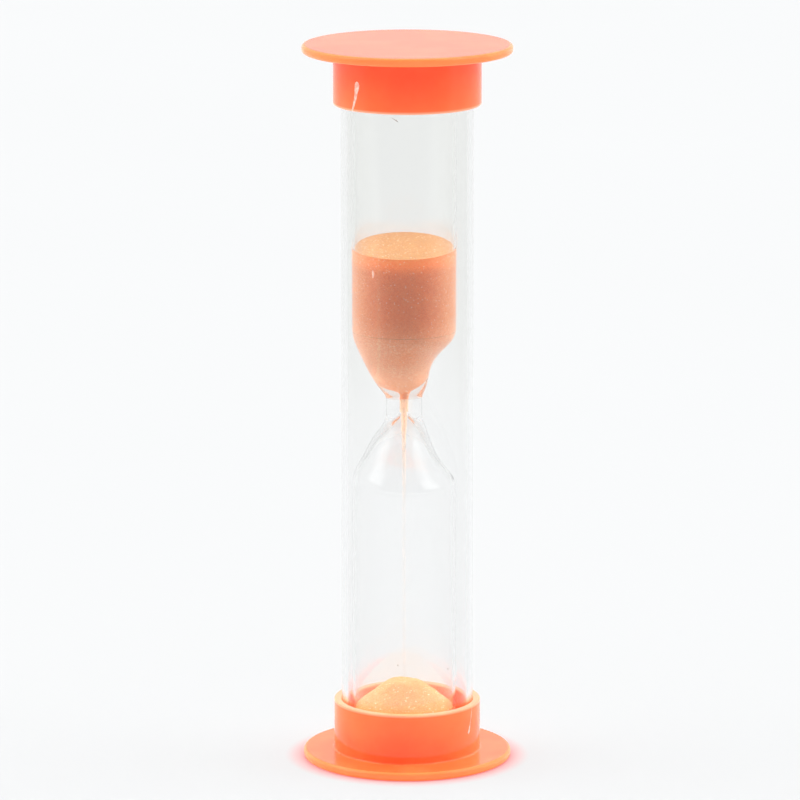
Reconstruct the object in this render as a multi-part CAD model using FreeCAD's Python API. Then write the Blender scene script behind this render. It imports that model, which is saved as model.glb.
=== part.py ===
import FreeCAD, Part
import os

# Small sand timer, in millimetres. It stands on z = 0 with the axis of its two caps on the Z axis.
# The glass leans against one side of its seats, so its own axis lies a little to the -X side.

TIMER_HEIGHT = 90.0

# Caps: a flange with a collar around the sleeve and a low seat ring around the end of the glass.
FLANGE_RADIUS = 13.0
FLANGE_THICKNESS = 1.05
FLANGE_EDGE_ROUND = 0.4
COLLAR_RADIUS = 9.15
COLLAR_HEIGHT = 6.35
COLLAR_BORE_RADIUS = 8.25
COLLAR_EDGE_ROUND = 0.15
COLLAR_FOOT_ROUND = 0.2
SEAT_OUTER_RADIUS = 7.35
SEAT_INNER_RADIUS = 6.9
SEAT_HEIGHT = 2.4

# Outer sleeve: clear tube between the floors of the two caps.
SLEEVE_OUTER_RADIUS = 8.2
SLEEVE_INNER_RADIUS = 7.45
SLEEVE_EDGE_CHAMFER = 0.12

# Rubber discs between the cap floors and the ends of the glass.
DISC_RADIUS = 6.8
DISC_THICKNESS = 1.2
DISC_EDGE_ROUND = 0.3

# Glass bulb: drawn tube with a closed, rounded lower end and an open upper end.
GLASS_OFFSET_X = -0.4
GLASS_RADIUS = 6.45
GLASS_BORE_RADIUS = 6.15
GLASS_END_ROUND = 1.5
GLASS_FLOOR_THICKNESS = 0.6
GLASS_LIP_ROUND = 0.12
NECK_RADIUS = 2.25
THROAT_RADIUS = 0.34
THROAT_HEIGHT = 44.7

# Rings through which the drawn walls run: height, radius, and the ring's centre in X from the glass axis.
# The draw isn't quite even: the walls are fuller on the -X side.
LOWER_SHOULDER_OUTSIDE = [
    (33.4, GLASS_RADIUS, 0.0),
    (34.2, GLASS_RADIUS, 0.0),
    (35.4, 6.33, -0.07),
    (36.6, 5.78, -0.35),
    (38.1, 4.83, -0.5),
    (39.5, 4.12, -0.48),
    (40.75, 3.52, -0.35),
    (41.8, 2.98, -0.15),
    (42.8, 2.45, -0.02),
    (43.5, NECK_RADIUS, 0.0),
    (44.2, NECK_RADIUS, 0.0),
]
UPPER_SHOULDER_OUTSIDE = [
    (45.2, NECK_RADIUS, 0.0),
    (45.9, 2.27, 0.0),
    (46.9, 2.78, -0.15),
    (48.2, 3.42, -0.42),
    (50.3, 4.28, -0.68),
    (51.7, 5.1, -0.5),
    (53.0, 5.98, -0.15),
    (54.4, GLASS_RADIUS, 0.0),
    (55.2, GLASS_RADIUS, 0.0),
]
LOWER_SHOULDER_INSIDE = [
    (33.4, GLASS_BORE_RADIUS, 0.0),
    (34.2, GLASS_BORE_RADIUS, 0.0),
    (35.4, 6.0, -0.07),
    (36.6, 5.4, -0.35),
    (38.1, 4.38, -0.5),
    (39.5, 3.55, -0.48),
    (40.75, 2.8, -0.35),
    (41.8, 2.0, -0.15),
    (42.6, 1.32, -0.03),
    (43.3, 0.8, 0.0),
    (43.9, 0.42, 0.0),
    (THROAT_HEIGHT, THROAT_RADIUS, 0.0),
]
# The funnel ends in a small bowl, with a narrow channel from its bottom down to the throat.
UPPER_SHOULDER_INSIDE = [
    (THROAT_HEIGHT, THROAT_RADIUS, 0.0),
    (46.5, THROAT_RADIUS, 0.0),
    (47.0, 0.38, 0.0),
    (47.35, 0.62, -0.05),
    (47.6, 1.1, -0.12),
    (48.0, 1.7, -0.26),
    (48.6, 2.3, -0.45),
    (49.4, 2.95, -0.58),
    (50.4, 3.8, -0.66),
    (51.7, 4.68, -0.5),
    (53.0, 5.62, -0.15),
    (54.4, GLASS_BORE_RADIUS, 0.0),
    (55.2, GLASS_BORE_RADIUS, 0.0),
]

# Filling stopper: soft plug with two sealing ribs, pushed into the open end of the glass.
STOPPER_RADIUS = 5.8
STOPPER_RIB_RADIUS = 6.1
STOPPER_RIB_HEIGHT = 0.7
STOPPER_LENGTH = 3.6
STOPPER_RECESS = 0.4
STOPPER_DIMPLE_RADIUS = 3.6
STOPPER_DIMPLE_DEPTH = 1.2

# Sand, with the timer part-way through its run. The upper surface tilts by some degrees.
SAND_GAP = 0.05
SAND_SPLIT_HEIGHT = 54.4
UPPER_SAND_LEVEL = 65.0
UPPER_SAND_TILT = 6.0
LOWER_BED_LEVEL = 6.6
HEAP_HEIGHT = 3.2
HEAP_CROWN_RADIUS = 1.9
HEAP_CROWN_ROUND = 2.2
STREAM_TOP_RADIUS = 0.25
STREAM_FOOT_RADIUS = 0.16

CAP_HEIGHT = FLANGE_THICKNESS + COLLAR_HEIGHT
GLASS_BOTTOM = FLANGE_THICKNESS + DISC_THICKNESS
GLASS_TOP = TIMER_HEIGHT - GLASS_BOTTOM
GLASS_FLOOR = GLASS_BOTTOM + GLASS_FLOOR_THICKNESS
SAND_RADIUS = GLASS_BORE_RADIUS - SAND_GAP
STREAM_TOP = LOWER_SHOULDER_INSIDE[-2][0]
HEAP_TOP = LOWER_BED_LEVEL + HEAP_HEIGHT

UP = FreeCAD.Vector(0, 0, 1)


def rod(radius, low, high, x=0.0):
    """Upright cylinder between two heights."""
    return Part.makeCylinder(radius, high - low, FreeCAD.Vector(x, 0, low), UP)


def tube(outer, inner, low, high, x=0.0):
    """Upright tube between two heights."""
    return rod(outer, low, high, x).cut(rod(inner, low, high, x))


def rim_edges(shape, radius, height):
    """Round edges of one radius at one height."""
    found = []
    for edge in shape.Edges:
        curve = edge.Curve
        if not isinstance(curve, Part.Circle):
            continue
        if abs(curve.Radius - radius) < 1e-4 and abs(curve.Center.z - height) < 1e-4:
            found.append(edge)
    return found


def rounded(shape, size, *rims):
    """Fillets the rims given as (radius, height) pairs."""
    for radius, height in rims:
        shape = shape.makeFillet(size, rim_edges(shape, radius, height)).Solids[0]
    return shape


def chamfered(shape, size, *rims):
    """Chamfers the rims given as (radius, height) pairs."""
    for radius, height in rims:
        shape = shape.makeChamfer(size, rim_edges(shape, radius, height)).Solids[0]
    return shape


def drawn(rings, inset=0.0):
    """Solid whose side runs smoothly through rings on the glass axis, pulled in by inset."""
    wires = []
    for height, radius, shift in rings:
        centre = FreeCAD.Vector(GLASS_OFFSET_X + shift, 0, height)
        wires.append(Part.Wire([Part.makeCircle(radius - inset, centre, UP)]))
    return Part.makeLoft(wires, True, False)


def turned(outline, x=0.0):
    """Solid of revolution from (radius, height) points joined by straight lines."""
    points = [FreeCAD.Vector(radius, 0, height) for radius, height in outline]
    face = Part.Face(Part.makePolygon(points + points[:1]))
    solid = face.revolve(FreeCAD.Vector(0, 0, 0), UP, 360)
    return solid.translated(FreeCAD.Vector(x, 0, 0))


def joined(*shapes):
    """One solid from shapes that meet or overlap."""
    return shapes[0].fuse(list(shapes[1:])).removeSplitter().Solids[0]


def turned_over(shape):
    """The same piece at the other end of the timer."""
    flipped = shape.copy()
    flipped.rotate(FreeCAD.Vector(0, 0, TIMER_HEIGHT / 2), FreeCAD.Vector(1, 0, 0), 180)
    return flipped


def make_cap():
    flange = rod(FLANGE_RADIUS, 0, FLANGE_THICKNESS)
    collar = tube(COLLAR_RADIUS, COLLAR_BORE_RADIUS, 0, CAP_HEIGHT)
    seat = tube(SEAT_OUTER_RADIUS, SEAT_INNER_RADIUS, 0, FLANGE_THICKNESS + SEAT_HEIGHT)
    cap = joined(flange, collar, seat)
    cap = rounded(cap, COLLAR_FOOT_ROUND, (COLLAR_RADIUS, FLANGE_THICKNESS))
    cap = rounded(cap, FLANGE_EDGE_ROUND, (FLANGE_RADIUS, 0), (FLANGE_RADIUS, FLANGE_THICKNESS))
    return rounded(cap, COLLAR_EDGE_ROUND, (COLLAR_RADIUS, CAP_HEIGHT), (COLLAR_BORE_RADIUS, CAP_HEIGHT))


def make_sleeve():
    low = FLANGE_THICKNESS
    high = TIMER_HEIGHT - FLANGE_THICKNESS
    sleeve = tube(SLEEVE_OUTER_RADIUS, SLEEVE_INNER_RADIUS, low, high)
    return chamfered(sleeve, SLEEVE_EDGE_CHAMFER, (SLEEVE_OUTER_RADIUS, low), (SLEEVE_OUTER_RADIUS, high))


def make_rubber_disc():
    low = FLANGE_THICKNESS
    disc = rod(DISC_RADIUS, low, low + DISC_THICKNESS)
    return rounded(disc, DISC_EDGE_ROUND, (DISC_RADIUS, low + DISC_THICKNESS))


def make_glass():
    x = GLASS_OFFSET_X
    lower = rod(GLASS_RADIUS, GLASS_BOTTOM, LOWER_SHOULDER_OUTSIDE[0][0], x)
    lower = rounded(lower, GLASS_END_ROUND, (GLASS_RADIUS, GLASS_BOTTOM))
    neck = rod(NECK_RADIUS, LOWER_SHOULDER_OUTSIDE[-1][0], UPPER_SHOULDER_OUTSIDE[0][0], x)
    upper = rod(GLASS_RADIUS, UPPER_SHOULDER_OUTSIDE[-1][0], GLASS_TOP, x)
    outside = joined(lower, drawn(LOWER_SHOULDER_OUTSIDE), neck, drawn(UPPER_SHOULDER_OUTSIDE), upper)
    inner_round = GLASS_END_ROUND - GLASS_FLOOR_THICKNESS / 2
    chamber = rod(GLASS_BORE_RADIUS, GLASS_FLOOR, LOWER_SHOULDER_INSIDE[0][0], x)
    chamber = rounded(chamber, inner_round, (GLASS_BORE_RADIUS, GLASS_FLOOR))
    mouth = rod(GLASS_BORE_RADIUS, UPPER_SHOULDER_INSIDE[-1][0], GLASS_TOP, x)
    inside = joined(chamber, drawn(LOWER_SHOULDER_INSIDE), drawn(UPPER_SHOULDER_INSIDE), mouth)
    return rounded(outside.cut(inside).Solids[0], GLASS_LIP_ROUND, (GLASS_RADIUS, GLASS_TOP))


def make_stopper():
    top = GLASS_TOP - STOPPER_RECESS
    low = top - STOPPER_LENGTH
    core = rod(STOPPER_RADIUS, low, top)
    ribs = []
    for rib_low in (low + STOPPER_RIB_HEIGHT, top - 2 * STOPPER_RIB_HEIGHT):
        rib = rod(STOPPER_RIB_RADIUS, rib_low, rib_low + STOPPER_RIB_HEIGHT)
        rims = ((STOPPER_RIB_RADIUS, rib_low), (STOPPER_RIB_RADIUS, rib_low + STOPPER_RIB_HEIGHT))
        ribs.append(chamfered(rib, STOPPER_RIB_HEIGHT / 4, *rims))
    dimple = rod(STOPPER_DIMPLE_RADIUS, top - STOPPER_DIMPLE_DEPTH, top)
    stopper = joined(core, *ribs).cut(dimple).Solids[0]
    return stopper.translated(FreeCAD.Vector(GLASS_OFFSET_X, 0, 0))


def make_upper_sand():
    """Column in the straight part of the upper chamber. Its surface tilts: it lies higher at the back."""
    column = rod(SAND_RADIUS, SAND_SPLIT_HEIGHT, UPPER_SAND_LEVEL + SAND_RADIUS, GLASS_OFFSET_X)
    reach = 4 * SAND_RADIUS
    above = Part.makeBox(reach, reach, reach, FreeCAD.Vector(-reach / 2, -reach / 2, 0))
    above.rotate(FreeCAD.Vector(0, 0, 0), FreeCAD.Vector(1, 0, 0), UPPER_SAND_TILT)
    above.translate(FreeCAD.Vector(0, 0, UPPER_SAND_LEVEL))
    return column.cut(above).Solids[0]


def make_funnel_sand():
    """Sand below the column, down through the funnel to the throat."""
    rings = [ring for ring in UPPER_SHOULDER_INSIDE if ring[0] <= SAND_SPLIT_HEIGHT]
    funnel = drawn(rings, SAND_GAP)
    throat = rod(STREAM_TOP_RADIUS, STREAM_TOP, THROAT_HEIGHT, GLASS_OFFSET_X)
    return joined(funnel, throat)


def make_stream():
    """Thin falling stream from the throat to the peak of the heap."""
    outline = [(0, HEAP_TOP), (STREAM_FOOT_RADIUS, HEAP_TOP), (STREAM_TOP_RADIUS, STREAM_TOP), (0, STREAM_TOP)]
    return turned(outline, GLASS_OFFSET_X)


def make_lower_bed():
    """Level bed on the floor of the lower chamber, up to the foot of the heap."""
    bed = rod(SAND_RADIUS, GLASS_FLOOR + SAND_GAP, LOWER_BED_LEVEL, GLASS_OFFSET_X)
    inner_round = GLASS_END_ROUND - GLASS_FLOOR_THICKNESS / 2
    return rounded(bed, inner_round, (SAND_RADIUS, GLASS_FLOOR + SAND_GAP))


def make_heap():
    """Cone of repose with a rounded crown where the stream lands."""
    axis_foot = FreeCAD.Vector(GLASS_OFFSET_X, 0, LOWER_BED_LEVEL)
    heap = Part.makeCone(SAND_RADIUS, HEAP_CROWN_RADIUS, HEAP_HEIGHT, axis_foot, UP)
    return rounded(heap, HEAP_CROWN_ROUND, (HEAP_CROWN_RADIUS, HEAP_TOP))


def build():
    cap = make_cap()
    rubber_disc = make_rubber_disc()
    return {
        "bottom_cap": cap,
        "top_cap": turned_over(cap),
        "outer_sleeve": make_sleeve(),
        "bottom_rubber_disc": rubber_disc,
        "top_rubber_disc": turned_over(rubber_disc),
        "glass_bulb": make_glass(),
        "filling_stopper": make_stopper(),
        "upper_sand": make_upper_sand(),
        "funnel_sand": make_funnel_sand(),
        "sand_stream": make_stream(),
        "lower_sand_bed": make_lower_bed(),
        "sand_heap": make_heap(),
    }


os.makedirs("parts", exist_ok=True)
for node, shape in build().items():
    shape.exportStep("parts/" + node + ".step")
    print(node, shape.ShapeType, shape.isValid(), round(shape.Volume, 2), shape.BoundBox)
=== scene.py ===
import math

import bmesh
import bpy
import numpy as np
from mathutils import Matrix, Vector, noise


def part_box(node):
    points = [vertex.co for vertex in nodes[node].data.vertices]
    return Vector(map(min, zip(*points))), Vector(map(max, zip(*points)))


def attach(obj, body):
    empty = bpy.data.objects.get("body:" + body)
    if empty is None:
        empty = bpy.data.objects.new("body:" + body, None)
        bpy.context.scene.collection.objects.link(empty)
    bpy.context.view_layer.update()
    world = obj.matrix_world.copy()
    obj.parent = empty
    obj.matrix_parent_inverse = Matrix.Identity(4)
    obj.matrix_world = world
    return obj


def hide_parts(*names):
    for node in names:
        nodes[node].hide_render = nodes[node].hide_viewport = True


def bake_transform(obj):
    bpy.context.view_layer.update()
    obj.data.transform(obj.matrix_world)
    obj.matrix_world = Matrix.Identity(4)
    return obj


MM = 0.001

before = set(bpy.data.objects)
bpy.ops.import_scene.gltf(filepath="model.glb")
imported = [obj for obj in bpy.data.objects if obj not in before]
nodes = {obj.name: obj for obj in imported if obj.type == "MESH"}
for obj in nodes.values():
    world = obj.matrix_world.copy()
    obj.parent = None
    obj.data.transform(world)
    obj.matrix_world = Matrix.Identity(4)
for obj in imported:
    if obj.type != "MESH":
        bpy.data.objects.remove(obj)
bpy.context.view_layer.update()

# ---------------------------------------------------------------- places and sizes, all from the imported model

glass_low, glass_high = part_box("glass_bulb")
sleeve_low, sleeve_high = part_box("outer_sleeve")
column_low, column_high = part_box("upper_sand")
bed_low, bed_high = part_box("lower_sand_bed")
heap_low, heap_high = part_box("sand_heap")
stream_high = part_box("sand_stream")[1]
bottom_low, bottom_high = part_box("bottom_cap")
top_low, top_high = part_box("top_cap")
GLASS_X = (column_low.x + column_high.x) / 2
GLASS_RADIUS = glass_high.x - GLASS_X
SLEEVE_RADIUS = sleeve_high.x
FLANGE_RADIUS = bottom_high.x
MIDDLE_HEIGHT = (bottom_low.z + top_high.z) / 2
COLLAR_END = (top_low.z - bottom_high.z) / 2  # how far each collar's open end is from the middle

# Radii of the glass in mm: tube outside and inside, neck outside and inside.
TUBE, CHAMBER, NECK, THROAT = 6.45, 6.15, 2.25, 0.34
# Its drawn walls, as in part.py: height, radius and the ring's shift in X from the glass axis, in mm.
LOWER_OUTSIDE = [
    (33.4, TUBE, 0), (34.2, TUBE, 0), (35.4, 6.33, -0.07), (36.6, 5.78, -0.35), (38.1, 4.83, -0.5),
    (39.5, 4.12, -0.48), (40.75, 3.52, -0.35), (41.8, 2.98, -0.15), (42.8, 2.45, -0.02), (43.5, NECK, 0),
    (44.2, NECK, 0),
]
UPPER_OUTSIDE = [
    (45.2, NECK, 0), (45.9, 2.27, 0), (46.9, 2.78, -0.15), (48.2, 3.42, -0.42), (50.3, 4.28, -0.68),
    (51.7, 5.1, -0.5), (53.0, 5.98, -0.15), (54.4, TUBE, 0), (55.2, TUBE, 0),
]
LOWER_INSIDE = [
    (33.4, CHAMBER, 0), (34.2, CHAMBER, 0), (35.4, 6.0, -0.07), (36.6, 5.4, -0.35), (38.1, 4.38, -0.5),
    (39.5, 3.55, -0.48), (40.75, 2.8, -0.35), (41.8, 2.0, -0.15), (42.6, 1.32, -0.03), (43.3, 0.8, 0),
    (43.9, 0.42, 0), (44.7, THROAT, 0),
]
UPPER_INSIDE = [
    (44.7, THROAT, 0), (46.5, THROAT, 0), (47.0, 0.38, 0), (47.35, 0.62, -0.05), (47.6, 1.1, -0.12),
    (48.0, 1.7, -0.26), (48.6, 2.3, -0.45), (49.4, 2.95, -0.58), (50.4, 3.8, -0.66), (51.7, 4.68, -0.5),
    (53.0, 5.62, -0.15), (54.4, CHAMBER, 0), (55.2, CHAMBER, 0),
]
BORE_RADIUS = CHAMBER * MM
LOWER_TUBE_RING, UPPER_TUBE_RING = 18 * MM, 70 * MM  # heights of one more ring on each long straight wall
SHADING_GUARD = 0.1 * MM  # rings this near to the rounded ends keep the shading of the long walls upright
FLOOR_THICKNESS = 0.6 * MM
OUTER_END_ROUND = 1.5 * MM
INNER_END_ROUND = 1.2 * MM
LIP_ROUND = 0.12 * MM
SLEEVE_WALL = 0.75 * MM
SLEEVE_RIM = 0.12 * MM
SAND_PRESS = 0.02 * MM  # how far the sand's outline reaches into the glass, so that no gap shows between them
SAND_RADIUS = BORE_RADIUS + SAND_PRESS
SURFACE_TILT = math.tan(math.radians(6.0))  # the loose surface lies higher at the back, as in part.py
LUMP_ROOM = 0.06 * MM  # left above the column's surface for its lumps
COLUMN_TOP = column_high.z - SAND_RADIUS * SURFACE_TILT - LUMP_ROOM

# Heights at which finishes, painted light and painted shade change.
UPPER_SHADE_FROM, UPPER_SHADE_FULL = 34.0 * MM, 62.0 * MM  # painted shade: the clear walls are tinted darker upwards
NECK_LINES_IN = 36.5 * MM, 38.5 * MM  # the painted dark outline of the thick glass fades in between these
NECK_LINES_OUT = 49.0 * MM, 47.5 * MM  # and out again between these
FUNNEL_LIGHT_FROM, FUNNEL_LIGHT_FULL = 57.2 * MM, 52.4 * MM  # painted light: the sand is painted paler downwards into the funnel
THROAT_FROM, THROAT_FULL = 50.8 * MM, 47.5 * MM  # and the painted light fades again towards the throat
LOWER_CHAMBER_TOP = 30.0 * MM  # no funnel sand lies below this
COLLAR_SHADE_FROM, COLLAR_SHADE_FULL = 80.0 * MM, 84.0 * MM  # painted shade: the upper collar is painted darker and redder under its flange
STREAK_X = -3.35 * MM  # painted highlight: a paler streak down the front of the sand
LIT_DEPTH = 2.3 * MM  # how far the painted glow of light from above reaches into the column of sand


# ---------------------------------------------------------------- mesh helpers

def spline(x, y, at):
    """Smooth curve through (x, y) with level ends, read at the values in at: a clamped cubic spline."""
    x, y, at = np.array(x, float), np.array(y, float), np.array(at, float)
    n = len(x)
    h = np.diff(x)
    matrix, right = np.zeros((n, n)), np.zeros(n)
    matrix[0, 0] = matrix[-1, -1] = 1.0
    for i in range(1, n - 1):
        matrix[i, i - 1], matrix[i, i], matrix[i, i + 1] = h[i], 2 * (h[i - 1] + h[i]), h[i - 1]
        right[i] = 3 * (h[i] * (y[i] - y[i - 1]) / h[i - 1] + h[i - 1] * (y[i + 1] - y[i]) / h[i])
    slope = np.linalg.solve(matrix, right)
    i = np.clip(np.searchsorted(x, at) - 1, 0, n - 2)
    t = (at - x[i]) / h[i]
    return (
        (1 + 2 * t) * (1 - t) ** 2 * y[i] + t * (1 - t) ** 2 * h[i] * slope[i]
        + t * t * (3 - 2 * t) * y[i + 1] - t * t * (1 - t) * h[i] * slope[i + 1]
    )


def wall(rings, step=0.12):
    """(radius, height, shift) in metres along a drawn wall given as (height, radius, shift) rings in mm."""
    heights, radii, shifts = zip(*rings)
    count = int(round((heights[-1] - heights[0]) / step)) + 1
    z = np.linspace(heights[0], heights[-1], count)
    r, s = spline(heights, radii, z), spline(heights, shifts, z)
    return [(rr * MM, zz * MM, ss * MM) for rr, zz, ss in zip(r, z, s)]


def arc(centre_r, centre_z, radius, start, end, count=10):
    """(radius, height, 0) along an arc of the outline; angles in degrees from the outward direction."""
    made = []
    for a in np.radians(np.linspace(start, end, count)):
        made.append((centre_r + radius * math.cos(a), centre_z + radius * math.sin(a), 0.0))
    return made


def lathe(name, outline, x=0.0, segments=192, closed_ring=False):
    """Mesh from an outline of (radius, height, shift) turned about an upright axis at x.

    A radius of 0 at either end closes the form with a point. closed_ring joins the last ring to the first,
    which makes a tube.
    """
    verts, rings = [], []
    for radius, height, shift in outline:
        if radius < 1e-9:
            rings.append([len(verts)])
            verts.append((x + shift, 0.0, height))
            continue
        ring = []
        for k in range(segments):
            a = 2 * math.pi * k / segments
            ring.append(len(verts))
            verts.append((x + shift + radius * math.cos(a), radius * math.sin(a), height))
        rings.append(ring)
    pairs = list(zip(rings, rings[1:]))
    if closed_ring:
        pairs.append((rings[-1], rings[0]))
    faces = []
    for a, b in pairs:
        for k in range(segments):
            n = (k + 1) % segments
            if len(a) == 1:
                faces.append((a[0], b[n], b[k]))
            elif len(b) == 1:
                faces.append((a[k], a[n], b[0]))
            else:
                faces.append((a[k], a[n], b[n], b[k]))
    return add_mesh(name, verts, faces)


def add_mesh(name, verts, faces, sharp=35):
    """Object from vertices and faces, smooth except at edges steeper than sharp degrees."""
    mesh = bpy.data.meshes.new(name)
    mesh.from_pydata(verts, [], faces)
    made = bmesh.new()
    made.from_mesh(mesh)
    bmesh.ops.recalc_face_normals(made, faces=made.faces)
    made.to_mesh(mesh)
    made.free()
    mesh.shade_smooth()
    mesh.set_sharp_from_angle(angle=math.radians(sharp))
    piece = bpy.data.objects.new(name, mesh)
    bpy.context.scene.collection.objects.link(piece)
    return piece


def move_points(piece, shift):
    """Adds shift(point) to each vertex."""
    for v in piece.data.vertices:
        v.co += shift(v.co)
    piece.data.update()


# ---------------------------------------------------------------- materials

class Nodes:
    """The node tree of a material or world, with short ways to add and join nodes."""

    def __init__(self, owner, output, coordinates):
        owner.use_nodes = True
        self.owner = owner
        self.tree = owner.node_tree
        self.tree.nodes.clear()
        self.out = self.tree.nodes.new(output)
        self.place = self.tree.nodes.new("ShaderNodeTexCoord").outputs[coordinates]

    def add(self, kind, inputs=None, **settings):
        node = self.tree.nodes.new(kind)
        for key, value in settings.items():
            setattr(node, key, value)
        for key, value in (inputs or {}).items():
            if isinstance(value, bpy.types.NodeSocket):
                self.tree.links.new(value, node.inputs[key])
            else:
                node.inputs[key].default_value = value
        return node

    def math(self, operation, a, b=None, clamp=False):
        inputs = {0: a} if b is None else {0: a, 1: b}
        return self.add("ShaderNodeMath", inputs, operation=operation, use_clamp=clamp).outputs[0]

    def noise(self, scale, detail=3.0, rough=0.5, place=None):
        inputs = {"Vector": place or self.place, "Scale": scale, "Detail": detail, "Roughness": rough}
        return self.add("ShaderNodeTexNoise", inputs).outputs["Fac"]

    def stretched(self, x, y, z):
        """Place with each axis scaled, so that patterns on it get longer where the scale is under 1."""
        return self.add("ShaderNodeMapping", {"Vector": self.place, "Scale": (x, y, z)}).outputs[0]

    def cells(self, scale, place=None):
        """Pattern of cells, each with a colour of its own."""
        return self.add("ShaderNodeTexVoronoi", {"Vector": place or self.place, "Scale": scale})

    def ramp(self, value, stops):
        """Grey values read at value from (position, grey) stops."""
        node = self.add("ShaderNodeValToRGB", {"Fac": value})
        band = node.color_ramp
        while len(band.elements) < len(stops):
            band.elements.new(0.5)
        for element, (position, grey) in zip(band.elements, stops):
            element.position = position
            element.color = (grey, grey, grey, 1.0)
        return node.outputs["Color"]

    def mix(self, factor, a, b, blend="MIX"):
        """Colour between a and b, or a blended with b by the share factor."""
        node = self.tree.nodes.new("ShaderNodeMix")
        node.data_type = "RGBA"
        node.blend_type = blend
        for key, value in ((0, factor), (6, a), (7, b)):
            if isinstance(value, bpy.types.NodeSocket):
                self.tree.links.new(value, node.inputs[key])
            else:
                node.inputs[key].default_value = value if key == 0 else (*value, 1.0)
        return node.outputs[2]

    def span(self, value, low, high, to_low=0.0, to_high=1.0, smooth=True):
        """Value mapped from low..high to to_low..to_high, held at both ends. low may be the greater one."""
        inputs = {"Value": value, "From Min": low, "From Max": high, "To Min": to_low, "To Max": to_high}
        kind = "SMOOTHSTEP" if smooth else "LINEAR"
        return self.add("ShaderNodeMapRange", inputs, interpolation_type=kind).outputs[0]

    def bump(self, height, strength, distance, under=None):
        inputs = {"Height": height, "Strength": strength, "Distance": distance}
        if under is not None:
            inputs["Normal"] = under
        return self.add("ShaderNodeBump", inputs).outputs[0]

    def finish(self, shader):
        self.tree.links.new(shader, self.out.inputs["Surface"])
        return self.owner


def material_nodes(name):
    return Nodes(bpy.data.materials.new(name), "ShaderNodeOutputMaterial", "Object")


def cap_plastic():
    """Fluorescent orange moulded plastic: glossy, with faint moulding haze, scuffs and pits.

    Painted glow: an emission glows orange all over, yellower at the flanges' rims and the collars' open ends,
    where such plastic pipes light to its edges.
    """
    n = material_nodes("cap_plastic_finish")
    haze = n.noise(160, 4)
    flow = n.noise(900, 3, place=n.stretched(1, 1, 0.25))
    base = n.mix(n.span(haze, 0.35, 0.7), (0.93, 0.115, 0.026), (0.98, 0.145, 0.038))
    scuffs = n.noise(2600, 5, 0.65, place=n.stretched(1, 1, 4))
    scuff_mask = n.span(scuffs, 0.66, 0.8)
    colour = n.mix(n.math("MULTIPLY", scuff_mask, 0.18), base, (1.0, 0.45, 0.3))
    x, y, z = n.add("ShaderNodeSeparateXYZ", {"Vector": n.place}).outputs
    # Painted shade: the collar's colour is darkened just under the top flange, where the flange keeps light off
    # it.
    below_flange = n.span(z, top_high.z - 1.04 * MM, top_high.z - 1.1 * MM)
    painted_flange_shade = n.math("MULTIPLY", n.span(z, COLLAR_SHADE_FROM, COLLAR_SHADE_FULL), below_flange)
    colour = n.mix(painted_flange_shade, colour, (1.0, 0.72, 0.65), "MULTIPLY")
    rough = n.math("ADD", n.span(flow, 0.3, 0.75, 0.05, 0.1), n.math("MULTIPLY", scuff_mask, 0.12))
    skin = n.bump(n.noise(5200, 2), 0.1, 0.00001)
    waves = n.bump(haze, 0.25, 0.00006, skin)
    radius = n.math("SQRT", n.math("ADD", n.math("MULTIPLY", x, x), n.math("MULTIPLY", y, y)))
    rim = n.span(radius, FLANGE_RADIUS - 0.5 * MM, FLANGE_RADIUS - 0.1 * MM)
    from_middle = n.math("ABSOLUTE", n.math("SUBTRACT", z, MIDDLE_HEIGHT))
    end = n.span(from_middle, COLLAR_END + 6.0 * MM, COLLAR_END - 1.0 * MM)
    lip = n.span(from_middle, COLLAR_END + 0.4 * MM, COLLAR_END + 0.1 * MM)
    # Painted glow: the emission stands in for the fluorescent plastic's glow and the light it pipes to its rims
    # and open ends.
    glow = n.mix(end, (1.0, 0.05, 0.012), (1.0, 0.2, 0.05))
    glow = n.mix(lip, glow, (1.0, 0.75, 0.5))
    glow = n.mix(rim, glow, (1.0, 0.36, 0.1))
    shader = n.add("ShaderNodeBsdfPrincipled", {
        "Base Color": colour, "Roughness": rough, "Normal": waves, "IOR": 1.5,
        "Emission Color": glow, "Emission Strength": 0.42,
        "Subsurface Weight": 0.35, "Subsurface Radius": (1.0, 0.35, 0.12), "Subsurface Scale": 1.2 * MM,
    })
    return n.finish(shader.outputs[0])


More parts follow.
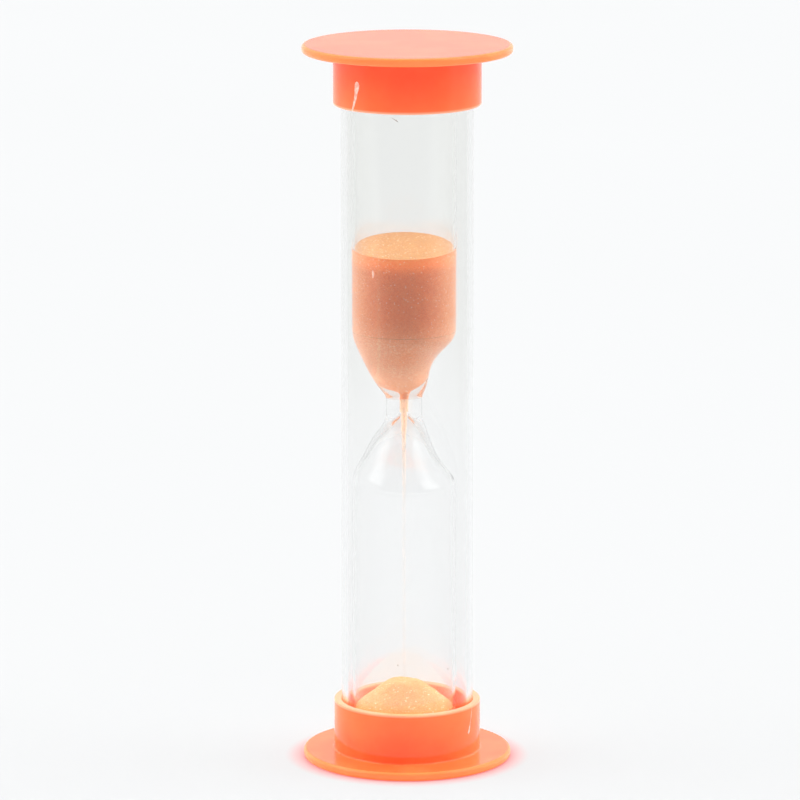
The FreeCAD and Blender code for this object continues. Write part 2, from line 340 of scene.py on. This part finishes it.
def clear_shell(name, ior, low_tint, high_tint, dust, scratches, neck=False):
    """Clear plastic or glass, tinted darker towards its upper end as painted shade, with faint waves, dust and
    hairline scratches.

    The sleeve also looks darker at its sides, where the eye looks through more of its wall, and more so under
    the painted shade towards the top. neck gives the glass a painted dark outline along its thick drawn
    shoulders and neck instead, where refraction shows a dark edge.
    """
    n = material_nodes(name)
    z = n.add("ShaderNodeSeparateXYZ", {"Vector": n.place}).outputs["Z"]
    # Painted shade: the tint darkens the clear walls towards the top.
    painted_upper_shade = n.span(z, UPPER_SHADE_FROM, UPPER_SHADE_FULL)
    tint = n.mix(painted_upper_shade, low_tint, high_tint)
    facing = n.add("ShaderNodeLayerWeight", {"Blend": 0.5}).outputs["Facing"]
    if neck:
        # Painted shade: near the neck the glass is tinted dark at its grazing edges, standing in for the dark
        # outline that refraction shows there.
        near_neck = n.math("MULTIPLY", n.span(z, *NECK_LINES_IN), n.span(z, *NECK_LINES_OUT))
        tint = n.mix(n.math("MULTIPLY", n.span(facing, 0.65, 0.95), near_neck), tint, (0.42, 0.43, 0.42))
    else:
        thick = n.math("MULTIPLY", n.span(facing, 0.05, 0.22), n.math("MAXIMUM", painted_upper_shade, 0.25))
        tint = n.mix(thick, tint, (0.95, 0.95, 0.945), "MULTIPLY")
    fine = n.noise(dust, 4, 0.6)
    lines = n.noise(scratches, 4, 0.6, place=n.stretched(1, 1, 0.06))
    rough = n.math("ADD", n.span(fine, 0.66, 0.8, 0.0, 0.02), n.span(lines, 0.74, 0.84, 0.0, 0.008))
    waves = n.bump(n.noise(60, 2, place=n.stretched(1, 1, 0.1)), 0.008, 0.0001)
    shader = n.add("ShaderNodeBsdfPrincipled", {
        "Base Color": tint, "Roughness": rough, "Normal": waves, "IOR": ior, "Transmission Weight": 1.0,
    })
    return n.finish(shader.outputs[0])


def sand_finish():
    """Fine dyed grains: each cell of the pattern is a grain with its own tone, and a few get a painted glint.

    Painted light: the sand is painted paler along the glass at its sides, with a painted highlight in a streak
    at its front, and paler most of all in the funnel, where light reaches it through the glass. Its loose upper
    faces are yellower, and a painted glow stands for light from above soaking a little way into the column.
    """
    n = material_nodes("sand_grains")
    grains = n.cells(7600)
    shade = n.add("ShaderNodeSeparateColor", {"Color": grains.outputs["Color"]})
    drift = n.noise(420, 3)
    dark, mid, pale = (0.82, 0.252, 0.1), (0.885, 0.3, 0.12), (0.915, 0.37, 0.165)
    colour = n.mix(n.span(shade.outputs[0], 0.0, 0.55), dark, mid)
    colour = n.mix(n.span(shade.outputs[0], 0.6, 1.0), colour, pale)
    colour = n.mix(n.span(drift, 0.3, 0.7, 0.0, 0.35), colour, mid)
    x, y, z = n.add("ShaderNodeSeparateXYZ", {"Vector": n.place}).outputs
    normal = n.add("ShaderNodeTexCoord").outputs["Normal"]
    upward = n.add("ShaderNodeSeparateXYZ", {"Vector": normal}).outputs["Z"]
    wall_side = n.span(upward, 0.5, 0.15)
    above_lower_chamber = n.span(z, LOWER_CHAMBER_TOP, LOWER_CHAMBER_TOP + 1.0 * MM)
    funnel_depth = n.math("MULTIPLY", n.span(z, FUNNEL_LIGHT_FROM, FUNNEL_LIGHT_FULL), above_lower_chamber)
    painted_funnel_light = n.math("MULTIPLY", funnel_depth, n.span(z, THROAT_FULL, THROAT_FROM, 0.3, 1.0))
    facing = n.add("ShaderNodeLayerWeight", {"Blend": 0.5}).outputs["Facing"]
    # Painted light: the sand is painted paler along the glass at its sides, standing in for the side lamps and
    # the bright tent mirrored there.
    side = n.math("MULTIPLY", n.span(facing, 0.02, 0.25), wall_side)
    side = n.math("MULTIPLY", side, n.span(funnel_depth, 0.0, 1.0, 1.0, 0.3, smooth=False))
    colour = n.mix(side, colour, (1.0, 1.58, 2.1), "MULTIPLY")
    # Painted highlight: a paler streak down the front of the sand, where the sleeve mirrors a side light.
    off_streak = n.math("ABSOLUTE", n.math("SUBTRACT", x, STREAK_X))
    painted_streak_highlight = n.math("MULTIPLY", n.span(off_streak, 0.3 * MM, 0.05 * MM), wall_side)
    colour = n.mix(n.math("MULTIPLY", painted_streak_highlight, 0.5), colour, (1.0, 1.25, 1.35), "MULTIPLY")
    # Painted light: the funnel is painted paler, standing in for light that reaches it through the glass around
    # it.
    colour = n.mix(painted_funnel_light, colour, (1.1, 1.66, 2.3), "MULTIPLY")
    colour = n.mix(n.span(upward, 0.15, 0.5), colour, (0.69, 0.96, 0.78), "MULTIPLY")
    # Painted glow: an emission near the column's top stands in for light from above soaking into the sand.
    surface = n.math("ADD", n.math("MULTIPLY", y, SURFACE_TILT), COLUMN_TOP)
    near_surface = n.span(n.math("SUBTRACT", surface, z), LIT_DEPTH, 0.2 * MM)
    in_column = n.span(z, column_low.z + 0.6 * MM, column_low.z + 1.6 * MM)
    painted_rim_glow = n.math("MULTIPLY", n.math("MULTIPLY", near_surface, in_column), wall_side)
    # Painted glints: a few grains are painted pale, as if catching the light.
    painted_glint = n.span(shade.outputs[1], 0.965, 0.985)
    colour = n.mix(n.math("MULTIPLY", painted_glint, 0.65), colour, (1.0, 0.82, 0.64))
    rough = n.span(painted_glint, 0.0, 1.0, 0.85, 0.5)
    height = n.math("SUBTRACT", 1.0, n.math("MULTIPLY", grains.outputs["Distance"], 1.4))
    shader = n.add("ShaderNodeBsdfPrincipled", {
        "Base Color": colour, "Roughness": rough, "Normal": n.bump(height, 0.18, 0.00005), "IOR": 1.45,
        "Specular IOR Level": 0.35, "Emission Color": (1.0, 0.27, 0.03, 1.0),
        "Emission Strength": n.math("MULTIPLY", painted_rim_glow, 0.33),
    })
    return n.finish(shader.outputs[0])


def rubber_finish():
    n = material_nodes("rubber_finish")
    cloud = n.noise(700, 4)
    colour = n.mix(n.span(cloud, 0.3, 0.7), (0.78, 0.76, 0.71), (0.86, 0.84, 0.79))
    normal = n.bump(n.noise(4200, 3), 0.3, 0.00002)
    rough = n.span(n.noise(1500, 2), 0.3, 0.7, 0.5, 0.68)
    shader = n.add("ShaderNodeBsdfPrincipled", {"Base Color": colour, "Roughness": rough, "Normal": normal})
    return n.finish(shader.outputs[0])


def stream_finish():
    """A falling stream: dense at the throat, then more and more broken up on its way down."""
    n = material_nodes("falling_sand")
    grains = n.cells(5200, place=n.stretched(1, 1, 0.35))
    shade = n.add("ShaderNodeSeparateColor", {"Color": grains.outputs["Color"]})
    colour = n.mix(shade.outputs[0], (0.85, 0.55, 0.34), (0.92, 0.7, 0.52))
    height = n.add("ShaderNodeSeparateXYZ", {"Vector": n.place}).outputs["Z"]
    falling = n.ramp(n.span(height, 9 * MM, 46 * MM, smooth=False),
                     [(0.0, 0.03), (0.62, 0.04), (0.78, 0.17), (0.87, 0.42), (0.96, 0.8)])
    clumps = n.span(shade.outputs[1], 0.0, 1.0, 0.75, 1.25, smooth=False)
    broken = n.math("MULTIPLY", falling, clumps, clamp=True)
    edge = n.add("ShaderNodeLayerWeight", {"Blend": 0.5}).outputs["Facing"]
    soft = n.math("MULTIPLY", broken, n.span(edge, 0.3, 1.0, 1.0, 0.25))
    # Painted glow: the stream's emission makes it paler and brighter than its light alone would.
    shader = n.add("ShaderNodeBsdfPrincipled", {
        "Base Color": colour, "Roughness": 0.8, "Alpha": soft, "Emission Color": (1.0, 0.74, 0.54, 1.0),
        "Emission Strength": 0.25,
    })
    return n.finish(shader.outputs[0])


def pale_mark_finish():
    """A whitish film, thin enough to let the surface below show through, with a painted glow that keeps it pale
    in dim light.
    """
    n = material_nodes("pale_mark")
    cloud = n.noise(2500, 3)
    colour = n.mix(n.span(cloud, 0.3, 0.7), (1.0, 0.68, 0.56), (1.0, 0.86, 0.78))
    rough = n.span(cloud, 0.3, 0.7, 0.2, 0.4)
    # Painted glow: the emission keeps the whitish film pale where the dim front would leave it grey.
    shader = n.add("ShaderNodeBsdfPrincipled", {
        "Base Color": colour, "Roughness": rough, "Normal": n.bump(cloud, 0.3, 0.00003),
        "Alpha": n.span(cloud, 0.3, 0.7, 0.4, 0.65),
        "Emission Color": (1.0, 0.8, 0.7, 1.0), "Emission Strength": 0.3,
    })
    return n.finish(shader.outputs[0])


def speck_finish():
    n = material_nodes("dust_specks")
    cloud = n.noise(6000, 3)
    colour = n.mix(n.span(cloud, 0.3, 0.7), (0.3, 0.2, 0.16), (0.5, 0.33, 0.27))
    rough = n.span(cloud, 0.3, 0.7, 0.6, 0.9)
    shader = n.add("ShaderNodeBsdfPrincipled", {"Base Color": colour, "Roughness": rough})
    return n.finish(shader.outputs[0])


CAP = cap_plastic()
SLEEVE = clear_shell("clear_sleeve_finish", 1.49, (0.976, 0.977, 0.976), (0.972, 0.974, 0.966), 1900, 5200)
GLASS = clear_shell("drawn_glass_finish", 1.5, (1.0, 1.0, 1.0), (0.992, 0.993, 0.99), 2300, 4200, neck=True)
SAND = sand_finish()
RUBBER = rubber_finish()
STREAM = stream_finish()
PALE = pale_mark_finish()
SPECK = speck_finish()


def paint(piece, material):
    piece.data.materials.clear()
    piece.data.materials.append(material)
    return piece


def repaint(node, material):
    """Gives a carried-over CAD node its finish, in the node object's own material slot."""
    for slot in nodes[node].material_slots:
        slot.link = "OBJECT"
        slot.material = material


for node in ("bottom_cap", "top_cap"):
    repaint(node, CAP)
for node in ("filling_stopper", "bottom_rubber_disc", "top_rubber_disc"):
    repaint(node, RUBBER)


# ---------------------------------------------------------------- clear sleeve

def sleeve_outline():
    out, low, high, rim = SLEEVE_RADIUS, sleeve_low.z, sleeve_high.z, SLEEVE_RIM
    inside = out - SLEEVE_WALL
    return (
        arc(out - rim, low + rim, rim, -90, 0, 5)
        + [(out, z, 0.0) for z in np.linspace(low + 1.5 * rim, high - 1.5 * rim, 24)]
        + arc(out - rim, high - rim, rim, 0, 90, 5)
        + arc(inside + rim, high - rim, rim, 90, 180, 5)
        + [(inside, z, 0.0) for z in np.linspace(high - 1.5 * rim, low + 1.5 * rim, 24)]
        + arc(inside + rim, low + rim, rim, 180, 270, 5)
    )


sleeve = paint(lathe("clear_sleeve_tube", sleeve_outline(), closed_ring=True, segments=256), SLEEVE)
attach(sleeve, "timer")
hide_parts("outer_sleeve")


# ---------------------------------------------------------------- glass bulb

def glass_outline():
    low, high = glass_low.z, glass_high.z
    end, bore = OUTER_END_ROUND, BORE_RADIUS
    floor = low + FLOOR_THICKNESS
    lip, guard = LIP_ROUND, SHADING_GUARD
    outside = (
        [(0.0, low, 0.0), (0.3 * (GLASS_RADIUS - end), low, 0.0)]
        + arc(GLASS_RADIUS - end, low + end, end, -90, 0, 14)
        + [(GLASS_RADIUS, low + end + guard, 0.0), (GLASS_RADIUS, LOWER_TUBE_RING, 0.0)]
        + wall(LOWER_OUTSIDE)
        + wall(UPPER_OUTSIDE)
        + [(GLASS_RADIUS, UPPER_TUBE_RING, 0.0), (GLASS_RADIUS, high - lip - guard, 0.0)]
        + arc(GLASS_RADIUS - lip, high - lip, lip, 0, 90, 5)
    )
    inside = (
        [(bore, high, 0.0), (bore, UPPER_TUBE_RING, 0.0)]
        + wall(UPPER_INSIDE)[::-1]
        + wall(LOWER_INSIDE)[::-1][1:]
        + [(bore, LOWER_TUBE_RING, 0.0), (bore, floor + INNER_END_ROUND + guard, 0.0)]
        + arc(bore - INNER_END_ROUND, floor + INNER_END_ROUND, INNER_END_ROUND, 0, -90, 12)
        + [(0.3 * (bore - INNER_END_ROUND), floor, 0.0), (0.0, floor, 0.0)]
    )
    return outside + inside


bulb = paint(lathe("drawn_glass_bulb", glass_outline(), GLASS_X, segments=256), GLASS)
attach(bulb, "timer")
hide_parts("glass_bulb")


# ---------------------------------------------------------------- sand

def surface_rings(radius, height, count):
    """Rings of a level surface from its rim to its centre."""
    return [(radius * k / count, height, 0.0) for k in range(count - 1, 0, -1)] + [(0.0, height, 0.0)]


def grain_lumps(size, depth):
    """Shift that roughens a loose surface upwards and downwards."""
    def shift(p):
        q = Vector((p.x, p.y, p.z)) / size
        return Vector((0.0, 0.0, depth * noise.fractal(q, 1.0, 2.0, 4)))
    return shift


column = lathe(
    "upper_sand_column",
    [(0.0, column_low.z, 0.0), (SAND_RADIUS, column_low.z, 0.0), (SAND_RADIUS, COLUMN_TOP, 0.0)]
    + surface_rings(SAND_RADIUS, COLUMN_TOP, 44),
    GLASS_X,
)
lumps = grain_lumps(0.9 * MM, 0.05 * MM)
fine_lumps = grain_lumps(0.22 * MM, 0.03 * MM)


def near_glass(p):
    return math.hypot(p.x - GLASS_X, p.y) > SAND_RADIUS - 0.05 * MM


def column_shift(p):
    """Tilts the column's surface, and roughens it inside its edge."""
    if p.z < COLUMN_TOP - 0.5 * MM:
        return Vector((0, 0, 0))
    tilt = Vector((0, 0, p.y * SURFACE_TILT))
    return tilt if near_glass(p) else tilt + lumps(p) + fine_lumps(p)


move_points(column, column_shift)
paint(column, SAND)
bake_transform(column)
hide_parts("upper_sand")

CHANNEL_SAND_FOOT = 46.0 * MM  # packed sand above, loose stream below
funnel_rings = []
for r, z, shift in wall(UPPER_INSIDE):
    if CHANNEL_SAND_FOOT <= z <= column_low.z + 1e-9:
        funnel_rings.append((r + SAND_PRESS, z, shift))
funnel = lathe(
    "funnel_of_sand",
    [(0.0, funnel_rings[0][1], 0.0)] + funnel_rings + [(0.0, funnel_rings[-1][1], 0.0)],
    GLASS_X,
)
paint(funnel, SAND)
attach(funnel, "timer")
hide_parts("funnel_sand")

# Heap: a cone of repose whose crown is rounded where the stream lands.
CROWN_RADIUS, CROWN_ROUND = 1.9 * MM, 2.2 * MM
HEAP_EDGE = 0.02 * MM  # thickness of the heap where it meets the glass
heap_foot = heap_low.z
heap_top = heap_high.z - 0.05 * MM


def heap_height(r):
    """Height of the heap's surface at radius r: level, then an arc, then the slope of repose."""
    slope = math.atan2(heap_top - heap_foot, SAND_RADIUS - CROWN_RADIUS)
    reach = CROWN_ROUND * math.tan(slope / 2)
    level = CROWN_RADIUS - reach
    bend = level + CROWN_ROUND * math.sin(slope)
    if r <= level:
        return heap_top
    if r <= bend:
        return heap_top - CROWN_ROUND + math.sqrt(CROWN_ROUND ** 2 - (r - level) ** 2)
    return heap_top - CROWN_ROUND * (1 - math.cos(slope)) - (r - bend) * math.tan(slope)


HEAP_RINGS = 56
heap_side = []
for k in range(HEAP_RINGS, 0, -1):
    r = SAND_RADIUS * k / HEAP_RINGS
    heap_side.append((r, max(heap_height(r), heap_foot + HEAP_EDGE), 0.0))
heap = lathe(
    "lower_sand_heap",
    [(0.0, heap_foot, 0.0), (SAND_RADIUS, heap_foot, 0.0)] + heap_side + [(0.0, heap_top, 0.0)],
    GLASS_X,
)
heap_lumps = grain_lumps(1.3 * MM, 0.09 * MM)
heap_fine = grain_lumps(0.25 * MM, 0.035 * MM)


def heap_shift(p):
    """Roughens the heap inside its edge, and keeps it under its CAD box's top."""
    if p.z < heap_foot + HEAP_EDGE / 2 or near_glass(p):
        return Vector((0, 0, 0))
    moved = heap_lumps(p) + heap_fine(p)
    moved.z = min(moved.z, heap_high.z - p.z)
    return moved


move_points(heap, heap_shift)
paint(heap, SAND)
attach(heap, "rising_heap")
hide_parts("sand_heap")

bed_round = INNER_END_ROUND
bed = lathe(
    "lower_sand_bed_fill",
    [(0.0, bed_low.z, 0.0)]
    + arc(SAND_RADIUS - bed_round, bed_low.z + bed_round, bed_round, -90, 0, 8)
    + [(SAND_RADIUS, bed_high.z, 0.0), (0.0, bed_high.z, 0.0)],
    GLASS_X,
)
paint(bed, SAND)
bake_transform(bed)
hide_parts("lower_sand_bed")

# Stream: it fills the channel, and thins on its way down.
STREAM_RINGS = 100
CHANNEL_FILL = 0.355 * MM  # radius in the channel, pressed a little into the glass
STREAM_TAPER = 0.032  # radius lost for each length fallen
THINNEST_STREAM = 0.22 * MM
stream_outline = [(0.0, heap_top - 0.1 * MM, 0.0)]
for k in range(STREAM_RINGS + 1):
    z = heap_top + (CHANNEL_SAND_FOOT - heap_top) * k / STREAM_RINGS
    drop = max(0.0, stream_high.z - z)
    stream_outline.append((max(THINNEST_STREAM, CHANNEL_FILL - STREAM_TAPER * drop), z, 0.0))
stream_outline.append((0.0, CHANNEL_SAND_FOOT, 0.0))
stream = lathe("falling_sand_stream", stream_outline, GLASS_X, segments=24)


def stream_wander(p):
    """Small sideways shifts, which grow over the first millimetre below the channel."""
    q = Vector((p.x * 0.5, p.y * 0.5, p.z)) / (1.1 * MM)
    free = min(1.0, max(0.0, (stream_high.z - p.z) / MM))
    return 0.03 * MM * free * Vector((noise.noise(q), noise.noise(q + Vector((7, 3, 1))), 0))


move_points(stream, stream_wander)
paint(stream, STREAM)
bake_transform(stream)
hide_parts("sand_stream")


# ---------------------------------------------------------------- small marks on the surfaces

COLLAR_RADIUS = 9.15 * MM
MARK_RISE = 0.015 * MM


def surface_mark(name, radius, stations, material):
    """A thin smear on an upright wall. Its stations are (azimuth, height in mm, half width in mm), top first.

    Azimuth is in degrees from the front, which faces -Y, and grows towards +X. The smear stands MARK_RISE off
    the wall along its middle, and its edges sink into the wall.
    """
    across = (-1.0, -0.6, 0.0, 0.6, 1.0)
    verts, faces = [], []
    for azimuth, height, half_width in stations:
        for t in across:
            a = math.radians(azimuth) + t * half_width * MM / radius
            r = radius + MARK_RISE * (1 - 1.3 * t * t)
            verts.append((r * math.sin(a), -r * math.cos(a), height * MM))
    count = len(across)
    for i in range(len(stations) - 1):
        for k in range(count - 1):
            first = i * count + k
            faces.append((first, first + 1, first + 1 + count, first + count))
    mark = paint(add_mesh(name, verts, faces, sharp=80), material)
    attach(mark, "timer")


def dot(azimuth, height, size):
    """Stations of a round speck, size mm across."""
    half = size / 2
    blunt = 0.003
    turns = np.linspace(0, math.pi, 7)
    return [(azimuth, height + half * math.cos(a), half * math.sin(a) + blunt) for a in turns]


surface_mark("collar_smear", COLLAR_RADIUS, [
    (-42.3, 86.35, 0.04), (-42.1, 86.2, 0.26), (-42.05, 85.9, 0.38), (-42.3, 85.4, 0.36), (-43.2, 84.7, 0.24),
    (-44.5, 83.9, 0.2), (-46.0, 83.15, 0.16), (-47.5, 82.6, 0.05),
], PALE)
surface_mark("collar_scratch", COLLAR_RADIUS, [
    (62.0, 7.2, 0.03), (61.0, 6.4, 0.05), (59.4, 5.4, 0.06), (58.0, 4.6, 0.12), (57.0, 4.2, 0.22),
    (56.7, 3.95, 0.05),
], PALE)
surface_mark("collar_fleck", COLLAR_RADIUS, dot(-60.5, 88.4, 0.3), PALE)
surface_mark("sleeve_scrape", SLEEVE_RADIUS, [
    (-31.2, 63.1, 0.05), (-30.9, 62.8, 0.15), (-30.8, 62.4, 0.14), (-31.0, 62.1, 0.04),
], PALE)
surface_mark("sleeve_fibre", SLEEVE_RADIUS, [
    (-13.0, 82.05, 0.03), (-11.0, 81.85, 0.06), (-9.4, 81.75, 0.08), (-8.4, 81.6, 0.03),
], SPECK)
SPECKS = ((-29.2, 14.0, 0.1), (-8.1, 13.6, 0.15), (38.0, 12.7, 0.16))  # azimuth, height, size
for index, (azimuth, height, size) in enumerate(SPECKS):
    surface_mark("sleeve_speck_%d" % index, SLEEVE_RADIUS, dot(azimuth, height, size), SPECK)


# ---------------------------------------------------------------- studio

# The tent's brightness as it lights matt surfaces: low and high on its walls, and the lamps at its two sides.
TENT_LOW, TENT_HIGH = 1.3, 3.9
TENT_SIDES = 4.8
# What is mirrored or seen through the glass: an even white tent with a soft window at each side.
MIRRORED_TENT, MIRRORED_BACK, MIRRORED_FRONT = 0.95, 0.88, 0.35
WINDOW = 2.1
# The windows' azimuth from the front and height, in degrees: fade in from, full from, full to, fade out to.
WINDOW_AZIMUTH, WINDOW_HEIGHT = (42, 60, 82, 100), (14, 24, 42, 54)
HORIZON_LOW, HORIZON_HIGH = 0.06, 0.14  # sines of the heights between which the windowed tent fades in
# The table is lit from below. Its near end looks dimmer in a mirroring surface.
TABLE_GLOW, TABLE_MIRRORED_GLOW = 0.49, 0.22
TABLE_DIM_FROM, TABLE_DIM_FULL = -0.16, -0.3
TABLE_WIDTH = 80.0


def world_light():
    """A white tent, brighter towards its roof and dim on the photographer's side, where there is no lamp."""
    world = bpy.data.worlds.new("studio")
    bpy.context.scene.world = world
    n = Nodes(world, "ShaderNodeOutputWorld", "Generated")
    x, y, z = n.add("ShaderNodeSeparateXYZ", {0: n.place}).outputs
    flat = n.math("SQRT", n.math("ADD", n.math("MULTIPLY", x, x), n.math("MULTIPLY", y, y)))
    forward = n.math("DIVIDE", n.math("MULTIPLY", y, -1.0), n.math("MAXIMUM", flat, 0.0001))

    bright = n.span(z, 0.2, 0.8, TENT_LOW, TENT_HIGH)
    front = n.math("MULTIPLY", n.span(forward, 0.0, 0.85), n.span(z, 0.9, 0.7))
    lit_share = n.math("SUBTRACT", 1.0, front)
    lamps = n.math("MULTIPLY", n.span(forward, 0.35, 0.1), n.span(forward, -0.6, -0.35))
    lamps = n.math("MULTIPLY", lamps, n.span(z, 0.75, 0.35))
    lighting = n.math("ADD", n.math("MULTIPLY", bright, lit_share), n.math("MULTIPLY", lamps, TENT_SIDES))

    side = [math.cos(math.radians(a)) for a in WINDOW_AZIMUTH]
    height = [math.sin(math.radians(a)) for a in WINDOW_HEIGHT]
    across = n.math("MULTIPLY", n.span(forward, side[0], side[1]), n.span(forward, side[3], side[2]))
    upright = n.math("MULTIPLY", n.span(z, height[0], height[1]), n.span(z, height[3], height[2]))
    window = n.math("MULTIPLY", across, upright)
    near_walls = n.span(forward, 0.2, 0.8, MIRRORED_TENT, MIRRORED_FRONT)
    walls = n.math("ADD", near_walls, n.span(forward, -0.3, -0.8, 0.0, MIRRORED_BACK - MIRRORED_TENT))
    windowed = n.math("ADD", walls, n.math("MULTIPLY", window, WINDOW - MIRRORED_TENT))
    horizon = n.span(z, HORIZON_LOW, HORIZON_HIGH)
    seen = n.add("ShaderNodeMix", {0: horizon, 2: MIRRORED_TENT, 3: windowed}, data_type="FLOAT").outputs[0]

    path = n.add("ShaderNodeLightPath").outputs
    repeated = n.math("GREATER_THAN", path["Glossy Depth"], 1.5)
    seen = n.add("ShaderNodeMix", {0: repeated, 2: seen, 3: MIRRORED_TENT}, data_type="FLOAT").outputs[0]
    matt = n.math("MINIMUM", path["Diffuse Depth"], 1.0)
    strength = n.add("ShaderNodeMix", {0: matt, 2: seen, 3: lighting}, data_type="FLOAT").outputs[0]
    back = n.add("ShaderNodeBackground", {"Color": (0.99, 1.0, 1.0, 1.0), "Strength": strength})
    n.finish(back.outputs[0])


def table_top():
    half = TABLE_WIDTH / 2
    return add_mesh("table_top", [(-half, -half, 0), (half, -half, 0), (half, half, 0), (-half, half, 0)],
                    [(0, 1, 2, 3)])


def table_finish():
    """Pale backlit sheet, with a painted pink spill of the fluorescent cap's light near the foot.

    Mirrored light sees its near end darker, where the photographer stands in the light.
    """
    n = material_nodes("pale_table")
    x, y, z = n.add("ShaderNodeSeparateXYZ", {"Vector": n.place}).outputs
    path = n.add("ShaderNodeLightPath").outputs
    depth = n.math("ADD", path["Glossy Depth"], n.math("MULTIPLY", path["Diffuse Depth"], 100.0))
    mirrored_once = n.math("LESS_THAN", n.math("ABSOLUTE", n.math("SUBTRACT", depth, 1.0)), 0.5)
    dark = n.math("MULTIPLY", n.span(y, TABLE_DIM_FROM, TABLE_DIM_FULL), mirrored_once)
    glow = n.span(dark, 0.0, 1.0, TABLE_GLOW, TABLE_MIRRORED_GLOW, smooth=False)
    foot = n.math("SQRT", n.math("ADD", n.math("MULTIPLY", x, x), n.math("MULTIPLY", y, y)))
    # Painted light: a pink spill of the fluorescent cap's light on the table around its foot.
    painted_cap_spill = n.span(foot, FLANGE_RADIUS + 2.6 * MM, FLANGE_RADIUS - 0.6 * MM)
    tint = n.mix(painted_cap_spill, (0.985, 0.998, 1.0), (1.35, 0.3, 0.3))
    matt_colour = n.mix(n.span(n.noise(6, 3), 0.3, 0.7), (0.168, 0.168, 0.17), (0.17, 0.17, 0.172))
    matt = n.add("ShaderNodeBsdfDiffuse", {"Color": matt_colour}).outputs[0]
    lit = n.add("ShaderNodeEmission", {"Color": tint, "Strength": glow}).outputs[0]
    return n.finish(n.add("ShaderNodeAddShader", {0: matt, 1: lit}).outputs[0])


world_light()
table = paint(table_top(), table_finish())


# ---------------------------------------------------------------- camera and output transform

# The camera was fitted to the outlines of both caps.
CAMERA_PLACE = (-0.9 * MM, -685.5 * MM, 188.35 * MM)
CAMERA_DOWN = 11.776  # degrees below level
camera_data = bpy.data.cameras.new("camera")
camera_data.sensor_width = 36.0
camera_data.lens = 254.0
camera_data.clip_start, camera_data.clip_end = 0.05, 100.0
camera = bpy.data.objects.new("camera", camera_data)
camera.location = CAMERA_PLACE
camera.rotation_euler = (math.radians(90 - CAMERA_DOWN), 0.0, 0.0)
bpy.context.scene.collection.objects.link(camera)
bpy.context.scene.camera = camera

scene = bpy.context.scene
scene.view_settings.view_transform = "Standard"
scene.cycles.blur_glossy = 0.0
scene.cycles.max_bounces = 24
scene.cycles.transmission_bounces = 24
scene.cycles.glossy_bounces = 24
scene.cycles.transparent_max_bounces = 16
